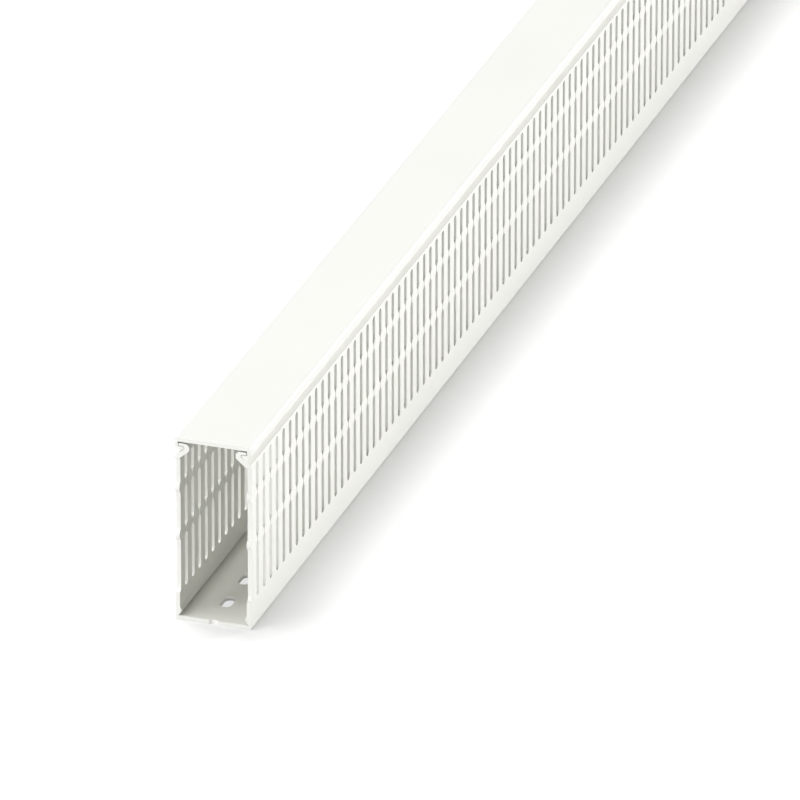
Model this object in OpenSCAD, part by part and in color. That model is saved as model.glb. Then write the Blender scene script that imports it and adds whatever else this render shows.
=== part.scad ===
// Slotted wire duct: an extruded channel with punched, pinched side slots and a clip-on cover.
// X is across the duct, Y along it and Z up. The origin is on the underside, midway along and across.

/* [Duct] */
// Width over the side walls
duct_w = 40; // [30:1:100]
// Height over the closed cover
duct_h = 100; // [90:1:150]
// Sold length
duct_len = 2000; // [200:50:2400]
// Thickness of the side walls
wall_t = 2.4; // [2:0.1:3]
// Thickness of the floor
floor_t = 2.2; // [2:0.1:4]
// Radius of the outer corners under the walls
foot_r = 0.8; // [0.4:0.1:1.5]

/* [Side slots] */
// Distance from one slot to the next, with a slot cut in half by each end of the duct
slot_pitch = 10; // [8:1:25]
// Width of a slot
slot_w = 4; // [3:0.5:5]
// Height of the plain band below the slots
band_h = 15; // [12:1:30]
// Plain strip between a slot's top and the shoulder of the wall
slot_head = 1.2; // [1:0.2:6]
// Gap left between the two nibs that pinch a slot
nib_gap = 0.6; // [0.4:0.1:1.2]
// Radius of a nib's round nose
nib_r = 3.5; // [2.5:0.1:3.8]
// Middle of the lower nibs above the underside
low_nib_z = 46; // [35:1:50]
// Middle of the upper nibs below the top of the duct
high_nib_drop = 28; // [20:1:30]

/* [Fixing slots in the floor] */
// Width of a fixing slot
fix_w = 6; // [4:0.5:8]
// Length of a fixing slot, end to end
fix_len = 12.5; // [9:0.5:20]
// Distance from one fixing slot to the next
fix_pitch = 27.5; // [25:2.5:100]
// How far the first slot's middle lies outside the front end
fix_start = 5.25; // [0:0.25:6]

/* [Break-off foot of the walls] */
// How far the rib at the foot stands off the wall's inner face
rib_reach = 1.0; // [0.4:0.1:1.6]
// Height of the rib's edge above the floor
rib_edge_h = 2.6; // [2:0.1:4]
// Height of the rib's flank above its edge
rib_flank_h = 2.3; // [1:0.1:4]
// Depth of the break-off groove into the wall
groove_depth = 1.2; // [0.3:0.1:1.4]
// Height of the groove's mouth above the floor
groove_h = 0.8; // [0.4:0.1:1.2]

/* [Snap hook of the walls] */
// Angle at which the top of a wall leans inwards
lean = 40; // [35:1:45]
// Outer radius of the hook's bend
bend_r = 2.6; // [2.4:0.1:3]
// How far the bend's middle lies inwards of the pocket's middle
bend_shift = 1.25; // [0.8:0.05:1.6]
// Clearance between the hook and the cover
fit_gap = 0.25; // [0.2:0.05:0.5]

/* [Cover] */
// Thickness of the cover's top
cover_t = 1.9; // [1.5:0.1:2.2]
// Thickness of the cover's sides
side_t = 1.8; // [1.5:0.1:2]
// Height of the cover's sides over their lips
cover_h = 6; // [5.8:0.1:6.5]
// Thickness of the turned-in lip
lip_t = 1.7; // [1.4:0.1:2]
// How far the lip reaches in from the cover's outer face
lip_reach = 4.9; // [4.6:0.1:5.5]
// Radius of the cover's upper edges
cover_edge_r = 1.0; // [0.4:0.1:1.5]
// Radius inside the cover's corners
cover_fillet_r = 0.4; // [0.2:0.1:0.5]

/* [Hidden] */

// Facets in a quarter turn of a small round
round_steps = 5;
// How far a cut runs past the face it opens
past = 1;
$fn = 48;

// A point of a wall is [in, up]: in from the wall's outer face, up from the underside.
lip_r = lip_t / 2;
nose = [lip_reach - lip_r, duct_h - cover_h + lip_r];
pocket_r = lip_r + fit_gap;
pocket_top = nose[1] + pocket_r;
// The leaning face touches the pocket, so the shoulder follows from the pocket's place
shoulder_z = nose[1] - nose[0] * tan(lean) - pocket_r / cos(lean);
bend_in = nose[0] + bend_shift;
bend_mid = [bend_in, shoulder_z + bend_in * tan(lean) + (bend_r - wall_t) / cos(lean)];
hook_top = bend_mid[1] + bend_r;
tip_r = (hook_top - pocket_top) / 2;
tip_mid = [side_t + fit_gap + tip_r, pocket_top + tip_r];
// Where the underside of the leaning band leaves the wall's inner face
throat_z = shoulder_z + wall_t * tan(lean) - wall_t / cos(lean);

slot_low = band_h + slot_w / 2;
slot_high = shoulder_z - slot_head - slot_w / 2;
high_nib_z = duct_h - high_nib_drop;

// Points round a middle, from one angle to another
function arc(mid, r, from, to, steps) =
    [for (i = [0:steps]) mid + r * [cos(from + (to - from) * i / steps), sin(from + (to - from) * i / steps)]];

// The outline of one wall, up its outer face, round the hook and down its inner face to the floor
function wall_side() = concat(
    arc([foot_r, foot_r], foot_r, 270, 180, round_steps),
    [[0, shoulder_z]],
    arc(nose, pocket_r, lean - 90, 90, 2 * round_steps),
    arc(tip_mid, tip_r, 270, 90, 2 * round_steps),
    arc(bend_mid, bend_r, 90, lean - 90, 2 * round_steps),
    [
        [wall_t, throat_z],
        [wall_t, floor_t + rib_edge_h + rib_flank_h],
        [wall_t + rib_reach, floor_t + rib_edge_h],
        [wall_t, floor_t + rib_edge_h - rib_reach],
        [wall_t, floor_t + groove_h],
        [wall_t - groove_depth, floor_t]
    ]
);

// The outline of one side of the cover, down its outer face, round the lip and back to its underside
function cover_side() = concat(
    arc([cover_edge_r, duct_h - cover_edge_r], cover_edge_r, 90, 180, round_steps),
    arc([side_t, duct_h - cover_h + side_t], side_t, 180, 270, round_steps),
    arc(nose, lip_r, -90, 90, 2 * round_steps),
    [[side_t, nose[1] + lip_r]],
    arc([side_t + cover_fillet_r, duct_h - cover_t - cover_fillet_r], cover_fillet_r, 180, 90, round_steps)
);

// Both sides of a section, closed across the middle
function both_sides(side) = concat(
    [for (p = side) [duct_w / 2 - p[0], p[1]]],
    [for (i = [len(side) - 1:-1:0]) [side[i][0] - duct_w / 2, side[i][1]]]
);

// Draws a section standing across the duct and runs it along the whole length
module extrusion(section) {
    translate([0, duct_len / 2, 0])
        rotate([90, 0, 0])
            linear_extrude(height = duct_len) polygon(section);
}

// The outline of one side slot: straight edges between round ends, pinched by two pairs of nibs
module slot_outline() {
    difference() {
        union() {
            translate([-slot_w / 2, slot_low]) square([slot_w, slot_high - slot_low]);
            for (z = [slot_low, slot_high])
                translate([0, z]) circle(d = slot_w);
        }
        for (z = [low_nib_z, high_nib_z])
            for (side = [-1, 1])
                translate([side * (nib_gap / 2 + nib_r), z]) circle(r = nib_r);
    }
}

// All the side slots, each cut through both walls at once
module side_slots() {
    for (y = [-duct_len / 2:slot_pitch:duct_len / 2])
        translate([-duct_w / 2 - past, y, 0])
            rotate([90, 0, 90])
                linear_extrude(height = duct_w + 2 * past) slot_outline();
}

// The row of fixing slots along the middle of the floor
module fixing_slots() {
    straight = fix_len - fix_w;
    for (y = [-duct_len / 2 - fix_start:fix_pitch:duct_len / 2 + fix_len / 2])
        translate([0, y, -past])
            linear_extrude(height = floor_t + 2 * past) {
                square([fix_w, straight], center = true);
                for (end = [-1, 1])
                    translate([0, end * straight / 2]) circle(d = fix_w);
            }
}

// Base of the duct: floor, slotted walls, break-off feet and snap hooks in one extrusion
module channel() {
    color([0.95, 0.94, 0.90])
        difference() {
            extrusion(both_sides(wall_side()));
            side_slots();
            fixing_slots();
        }
}

// Cover that hooks over both walls
module cover() {
    color([0.98, 0.98, 0.94])
        extrusion(both_sides(cover_side()));
}

channel();
cover();
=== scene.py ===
"""Looks of the slotted wire duct.

Extruded rigid PVC with sawn ends and punched slots, on a white table.
"""
import math

import bmesh
import bpy
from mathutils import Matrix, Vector


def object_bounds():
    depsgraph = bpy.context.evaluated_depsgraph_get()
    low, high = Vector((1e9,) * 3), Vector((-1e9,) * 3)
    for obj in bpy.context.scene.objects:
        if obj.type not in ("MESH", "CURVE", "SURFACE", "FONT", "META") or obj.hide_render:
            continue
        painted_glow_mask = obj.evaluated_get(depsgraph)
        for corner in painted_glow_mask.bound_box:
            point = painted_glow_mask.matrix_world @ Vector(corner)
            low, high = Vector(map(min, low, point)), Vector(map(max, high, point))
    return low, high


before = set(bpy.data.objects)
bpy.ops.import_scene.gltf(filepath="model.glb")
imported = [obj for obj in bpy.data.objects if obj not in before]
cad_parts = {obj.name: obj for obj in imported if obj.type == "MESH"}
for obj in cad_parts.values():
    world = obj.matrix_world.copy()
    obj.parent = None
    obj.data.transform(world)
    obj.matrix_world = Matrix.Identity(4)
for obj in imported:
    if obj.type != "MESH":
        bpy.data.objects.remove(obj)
cad_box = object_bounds()

MM = 0.001
WHITE = (1, 1, 1, 1)

# Rigid PVC: its index of refraction, and its colour on drawn and on cut faces; the cut faces are a
# little greyer, partly their own tone and partly painted shade for the shaded slot flanks
PVC_IOR = 1.53
CHANNEL_FACE = "#F2F2EC"
COVER_FACE = "#F2F2ED"
CUT_FACE_AND_SHADE = "#EDEDE8"
# Roughness of drawn faces, from their glossiest to their dullest patches, and of cut faces
DRAWN_ROUGHNESS = (0.34, 0.44)
CUT_ROUGHNESS = 0.62
# What is left of the colour where the melt drifts darkest
DARKEST_SHADE = 0.985
# How much of a face's normal points along the duct where it starts to look cut, and fully cut
CUT_FROM, CUT_TO = 0.55, 0.8
# Spacing of the die lines and of the saw and punch marks, across, along and up the duct
DIE_LINES = (0.8 * MM, 400 * MM, 0.8 * MM)
TOOL_MARKS = (5 * MM, 0.5 * MM, 0.3 * MM)
# Spacing of the slow drift in shade and gloss
DRIFT = 60 * MM
# Height of the lines and marks, how strongly they show, and the radius of the corners
RELIEF_HEIGHT = 0.03 * MM
RELIEF_STRENGTH = 0.35
CORNER_RADIUS = 0.25 * MM

# Table: half its width in metres, the air left under the duct, and its shade for bounced light
TABLE_HALF = 12.0
AIR_UNDER = 0.05 * MM
BOARD_SHADE = 0.42
# Painted glow under the duct, which makes its fixing slots look lit from below: its brightness,
# and how far its sides and ends lie in from the duct's
PAINTED_GLOW_LEVEL = 0.75
PAINTED_GLOW_SIDE_INSET = 2 * MM
PAINTED_GLOW_END_INSET = 1 * MM

# Camera: its focal length in millimetres, and the farthest distance that it sees, in metres
LENS = 666.765
FARTHEST = 60


# ---- Nodes and colours -------------------------------------------------------------------------

def linear(hex_colour):
    """An sRGB hex colour as linear RGBA."""
    channels = [int(hex_colour[i:i + 2], 16) / 255 for i in (1, 3, 5)]
    return [c / 12.92 if c <= 0.04045 else ((c + 0.055) / 1.055) ** 2.4
            for c in channels] + [1.0]


def add(tree, kind, inputs=None, **settings):
    """A node with its settings, and its inputs either linked to a socket or set to a value."""
    node = tree.nodes.new(kind)
    for name, value in settings.items():
        setattr(node, name, value)
    for name, value in (inputs or {}).items():
        if isinstance(value, bpy.types.NodeSocket):
            tree.links.new(value, node.inputs[name])
        else:
            node.inputs[name].default_value = value
    return node


def empty_material(name):
    """A material whose node tree is cleared, ready to be drawn."""
    material = bpy.data.materials.new(name)
    material.use_nodes = True
    material.node_tree.nodes.clear()
    return material


def dress(node_name, material):
    """Gives a CAD node one material all over."""
    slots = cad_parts[node_name].data.materials
    slots.clear()
    slots.append(material)


# ---- Materials ---------------------------------------------------------------------------------

def extruded_pvc(name, face_hex):
    """Rigid PVC, extruded through a die, then sawn and punched.

    The extruded faces are satin, with faint die lines along the length. Sawn ends and the flanks
    of punched slots are duller, with fine tool marks, and a little greyer: partly their own tone,
    partly painted shade for the shaded slot flanks.
    """
    material = empty_material(name)
    tree = material.node_tree
    place = add(tree, "ShaderNodeTexCoord")
    facing = add(tree, "ShaderNodeSeparateXYZ", {0: place.outputs["Normal"]})
    along = add(tree, "ShaderNodeMath", {0: facing.outputs["Y"]}, operation="ABSOLUTE")
    # 1 on faces that a saw or punch has cut, which also take the painted shade of the slot flanks,
    # 0 on faces that the die has drawn
    cut_and_shade = add(tree, "ShaderNodeMapRange", {
        0: along.outputs[0], "From Min": CUT_FROM, "From Max": CUT_TO})

    # Die lines: streaks far longer along the duct than across it
    streak_space = add(tree, "ShaderNodeMapping", {
        "Vector": place.outputs["Object"], "Scale": [1 / size for size in DIE_LINES]})
    streaks = add(tree, "ShaderNodeTexNoise", {
        "Vector": streak_space.outputs[0], "Scale": 1.0, "Detail": 2.0, "Roughness": 0.6})
    # Saw and punch marks: short scratches straight across the wall
    mark_space = add(tree, "ShaderNodeMapping", {
        "Vector": place.outputs["Object"], "Scale": [1 / size for size in TOOL_MARKS]})
    marks = add(tree, "ShaderNodeTexNoise", {
        "Vector": mark_space.outputs[0], "Scale": 1.0, "Detail": 3.0, "Roughness": 0.7})
    # Slow drift of the melt's shade and gloss
    drift = add(tree, "ShaderNodeTexNoise", {
        "Vector": place.outputs["Object"], "Scale": 1 / DRIFT, "Detail": 2.0, "Roughness": 0.5})

    # Cut faces take a greyer colour, partly their own tone and partly painted shade for the shaded
    # slot flanks
    tint_and_shade = add(tree, "ShaderNodeMix", {
        "Factor": cut_and_shade.outputs[0], "A": linear(face_hex), "B": linear(CUT_FACE_AND_SHADE)}, data_type="RGBA")
    shade = add(tree, "ShaderNodeMapRange", {
        0: drift.outputs["Fac"], "To Min": DARKEST_SHADE, "To Max": 1.0})
    colour = add(tree, "ShaderNodeMix", {
        "Factor": 1.0, "A": tint_and_shade.outputs["Result"], "B": shade.outputs[0]},
        data_type="RGBA", blend_type="MULTIPLY")

    gloss = add(tree, "ShaderNodeMapRange", {
        0: drift.outputs["Fac"], "To Min": DRAWN_ROUGHNESS[0], "To Max": DRAWN_ROUGHNESS[1]})
    rough = add(tree, "ShaderNodeMix", {
        "Factor": cut_and_shade.outputs[0], "A": gloss.outputs[0], "B": CUT_ROUGHNESS})

    relief = add(tree, "ShaderNodeMix", {
        "Factor": cut_and_shade.outputs[0], "A": streaks.outputs["Fac"], "B": marks.outputs["Fac"]})
    # Corners that the die leaves very slightly round
    corners = add(tree, "ShaderNodeBevel", {"Radius": CORNER_RADIUS}, samples=4)
    bump = add(tree, "ShaderNodeBump", {
        "Strength": RELIEF_STRENGTH, "Distance": RELIEF_HEIGHT, "Height": relief.outputs["Result"],
        "Normal": corners.outputs[0]})
    surface = add(tree, "ShaderNodeBsdfPrincipled", {
        "Base Color": colour.outputs["Result"], "Roughness": rough.outputs["Result"],
        "IOR": PVC_IOR, "Normal": bump.outputs[0]})
    add(tree, "ShaderNodeOutputMaterial", {"Surface": surface.outputs[0]})
    return material


def table_top():
    """Matt board that throws little light up into the duct, yet looks white, in reflections too.

    Under the duct it glows with painted light, so that the fixing slots show as bright openings in
    the floor.
    """
    material = empty_material("white_board")
    tree = material.node_tree
    ray = add(tree, "ShaderNodeLightPath")
    seen = add(tree, "ShaderNodeMath", {
        0: ray.outputs["Is Camera Ray"], 1: ray.outputs["Is Glossy Ray"]}, operation="MAXIMUM")
    shade = add(tree, "ShaderNodeMix", {
        "Factor": seen.outputs[0], "A": (BOARD_SHADE, BOARD_SHADE, BOARD_SHADE, 1), "B": WHITE},
        data_type="RGBA")
    board = add(tree, "ShaderNodeBsdfDiffuse", {"Color": shade.outputs["Result"]})

    # Painted light: under the duct, camera and glossy rays see a glowing strip instead of the
    # shaded board
    place = add(tree, "ShaderNodeTexCoord")
    spot = add(tree, "ShaderNodeSeparateXYZ", {0: place.outputs["Object"]})
    aside = add(tree, "ShaderNodeMath", {0: spot.outputs["X"]}, operation="ABSOLUTE")
    ahead = add(tree, "ShaderNodeMath", {0: spot.outputs["Y"]}, operation="ABSOLUTE")
    within_width = add(tree, "ShaderNodeMath", {
        0: aside.outputs[0], 1: cad_box[1].x - PAINTED_GLOW_SIDE_INSET}, operation="LESS_THAN")
    within_length = add(tree, "ShaderNodeMath", {
        0: ahead.outputs[0], 1: cad_box[1].y - PAINTED_GLOW_END_INSET}, operation="LESS_THAN")
    under = add(tree, "ShaderNodeMath", {
        0: within_width.outputs[0], 1: within_length.outputs[0]}, operation="MULTIPLY")
    painted_glow_mask = add(tree, "ShaderNodeMath", {
        0: under.outputs[0], 1: seen.outputs[0]}, operation="MULTIPLY")
    painted_glow = add(tree, "ShaderNodeEmission", {"Color": WHITE, "Strength": PAINTED_GLOW_LEVEL})
    surface = add(tree, "ShaderNodeMixShader", {
        0: painted_glow_mask.outputs[0], 1: board.outputs[0], 2: painted_glow.outputs[0]})
    add(tree, "ShaderNodeOutputMaterial", {"Surface": surface.outputs[0]})
    return material


# ---- Stage, light and camera -------------------------------------------------------------------

def towards(azimuth, elevation):
    """The direction out from the duct at an azimuth and an elevation, in degrees.

    Azimuth turns from the front towards the right.
    """
    turn, tilt = math.radians(azimuth), math.radians(elevation)
    level = math.cos(tilt)
    return Vector((math.sin(turn) * level, -math.cos(turn) * level, math.sin(tilt)))


def lay_table():
    """A wide flat board under the duct."""
    mesh = bpy.data.meshes.new("table")
    shape = bmesh.new()
    bmesh.ops.create_grid(shape, x_segments=1, y_segments=1, size=TABLE_HALF)
    shape.to_mesh(mesh)
    shape.free()
    table = bpy.data.objects.new("table", mesh)
    table.location.z = cad_box[0].z - AIR_UNDER
    bpy.context.scene.collection.objects.link(table)
    mesh.materials.append(table_top())


def hang_lamp(name, azimuth, elevation, spread, level):
    """A far, soft lamp. Angles are in degrees.

    Level is how bright a white face turned square to the lamp gets.
    """
    light = bpy.data.lights.new(name, "SUN")
    light.energy = level * math.pi
    light.angle = math.radians(spread)
    lamp = bpy.data.objects.new(name, light)
    lamp.rotation_euler = towards(azimuth, elevation).to_track_quat("Z", "Y").to_euler()
    bpy.context.scene.collection.objects.link(lamp)


def light_room(sky):
    """A dim, even room for the duct to stand in. The camera sees it as plain white."""
    world = bpy.data.worlds.new("white_room")
    bpy.context.scene.world = world
    world.use_nodes = True
    tree = world.node_tree
    tree.nodes.clear()
    ray = add(tree, "ShaderNodeLightPath")
    bare = add(tree, "ShaderNodeMath", {
        0: ray.outputs["Is Camera Ray"], 1: ray.outputs["Is Transmission Ray"]},
        operation="MAXIMUM")
    level = add(tree, "ShaderNodeMapRange", {0: bare.outputs[0], "To Min": sky, "To Max": 1.0})
    glow = add(tree, "ShaderNodeBackground", {"Color": WHITE, "Strength": level.outputs[0]})
    add(tree, "ShaderNodeOutputWorld", {"Surface": glow.outputs[0]})


def place_camera(aim, azimuth, elevation, distance):
    """A long lens that looks at a point from an azimuth and an elevation."""
    back = towards(azimuth, elevation)
    view = bpy.data.cameras.new("camera")
    view.lens = LENS
    view.clip_end = FARTHEST
    camera = bpy.data.objects.new("camera", view)
    camera.location = aim + back * distance
    camera.rotation_euler = (-back).to_track_quat("-Z", "Y").to_euler()
    bpy.context.scene.collection.objects.link(camera)
    bpy.context.scene.camera = camera


# ---- The scene ---------------------------------------------------------------------------------

dress("channel", extruded_pvc("extruded_pvc_channel", CHANNEL_FACE))
dress("cover", extruded_pvc("extruded_pvc_cover", COVER_FACE))

lay_table()
light_room(sky=0.06)
# From high on the left, so that the soft shadow falls on the right
hang_lamp("high_left", azimuth=-80, elevation=76, spread=34, level=0.755)
hang_lamp("high_back", azimuth=-140, elevation=66, spread=34, level=0.19)
# Low and slanting from behind, so that the side walls are bright while their slots stay shaded
hang_lamp("low_right", azimuth=143, elevation=5, spread=14, level=1.35)
hang_lamp("low_left", azimuth=-150, elevation=6, spread=16, level=0.15)
# Low from the front, on the sawn end
hang_lamp("low_front", azimuth=2, elevation=5, spread=10, level=0.44)
hang_lamp("low_front_left", azimuth=-40, elevation=4, spread=12, level=0.42)

# From the front right and above, aimed just outside the right wall, 142 mm in from the near end
near_end = Vector((0, cad_box[0].y, 0))
place_camera(near_end + Vector((50.2, 142, 67.9)) * MM,
             azimuth=18.67, elevation=25.18, distance=7.4665)
bpy.context.scene.view_settings.view_transform = "Standard"
